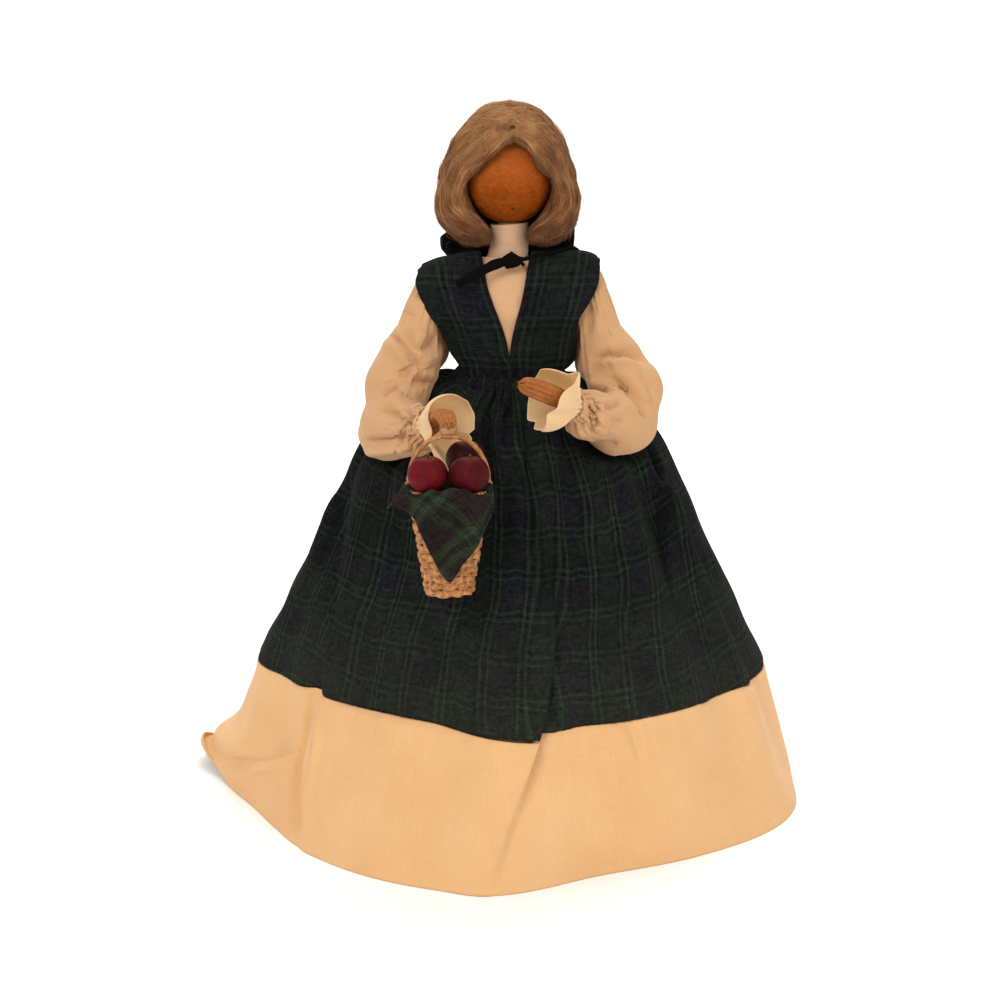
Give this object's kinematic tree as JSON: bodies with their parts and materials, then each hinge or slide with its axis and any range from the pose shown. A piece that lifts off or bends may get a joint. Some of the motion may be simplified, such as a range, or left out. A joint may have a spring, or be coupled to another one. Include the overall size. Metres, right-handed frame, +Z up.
{
  "type": "faceless folk art doll",
  "caption": "Standing faceless doll with a wooden ball head, wool hair, tartan dress with a wide muslin hem, posable wire arms and a hanging straw basket of apples.",
  "frame": {"origin": "centre of the underside of the wooden base, on the surface the doll stands on", "axes": "+Z up along the dowel, -Y the way the doll faces, -X the doll's right hand with the basket"},
  "size_m": [0.2709, 0.2396, 0.305],
  "materials": {
    "base_wood": "sanded, unfinished",
    "dowel": "bare",
    "fibre": "loose fibre filling",
    "tartan": "woven, matt, dark navy and green check",
    "muslin": "plain weave, matt",
    "wool": "combed fibre, slight sheen",
    "head_wood": "stained, satin",
    "hand_wood": "stained, carved",
    "straw": "woven straw",
    "apple": "lacquered",
    "stem": "bare",
    "wire": "plain",
    "cord": "twisted, black",
    "lining": "woven, matt",
    "thread": "twisted",
    "pin": "browned"
  },
  "bodies": {
    "figure": {"base_disc": "base_wood", "body_post": "dowel", "shoulder_wire": "wire", "skirt_form": "fibre", "skirt": "tartan", "hem_band": "muslin", "torso_core": "fibre", "blouse_front": "muslin", "bodice_front_right": "tartan", "bodice_front_left": "tartan", "bodice_back": "tartan", "neck_wrap": "muslin", "cord_knot": "cord", "neck_cord": "cord", "cord_tail": "cord", "hood": "tartan", "hood_lining": "lining"},
    "head": {"head_ball": "head_wood", "hair_right": "wool", "hair_left": "wool", "hair_pin": "pin"},
    "right_upper_arm": {"right_upper_wire": "wire", "right_upper_sleeve": "muslin"},
    "right_forearm": {"right_forearm_wire": "wire", "right_lower_sleeve": "muslin", "right_wrist_thread": "thread", "right_cuff_ruffle": "muslin", "right_hand": "hand_wood", "basket_tie": "thread"},
    "left_upper_arm": {"left_upper_wire": "wire", "left_upper_sleeve": "muslin"},
    "left_forearm": {"left_forearm_wire": "wire", "left_lower_sleeve": "muslin", "left_wrist_thread": "thread", "left_cuff_ruffle": "muslin", "left_hand": "hand_wood"},
    "basket": {"basket_shell": "straw", "basket_rim": "straw", "basket_handle": "straw", "napkin": "tartan", "apple_right": "apple", "apple_left": "apple", "apple_back": "apple", "apple_stem_right": "stem", "apple_stem_left": "stem", "apple_stem_back": "stem"}
  },
  "joints": [
    {"name": "head_turn", "type": "hinge", "parent": "figure", "child": "head", "pos_m": [0, 0, 0.255], "axis": [0, 0, 1], "range_deg": [-60, 60]},
    {"name": "right_shoulder", "type": "hinge", "parent": "figure", "child": "right_upper_arm", "pos_m": [-0.0325, 0, 0.229], "axis": [-1, 0, 0], "range_deg": [0, 25]},
    {"name": "right_elbow", "type": "hinge", "parent": "right_upper_arm", "child": "right_forearm", "pos_m": [-0.0515, -0.027, 0.1715], "axis": [-0.8335, -0.3403, 0.4352], "range_deg": [-2, 27]},
    {"name": "left_shoulder", "type": "hinge", "parent": "figure", "child": "left_upper_arm", "pos_m": [0.0335, 0, 0.2295], "axis": [-1, 0, 0], "range_deg": [0, 25]},
    {"name": "left_elbow", "type": "hinge", "parent": "left_upper_arm", "child": "left_forearm", "pos_m": [0.05, -0.027, 0.1745], "axis": [-0.7918, 0.4198, -0.4436], "range_deg": [-12, 30]},
    {"name": "basket_swing", "type": "hinge", "parent": "right_forearm", "child": "basket", "pos_m": [-0.0242, -0.089, 0.178], "axis": [-1, 0, 0], "range_deg": [-4, 40]}
  ]
}
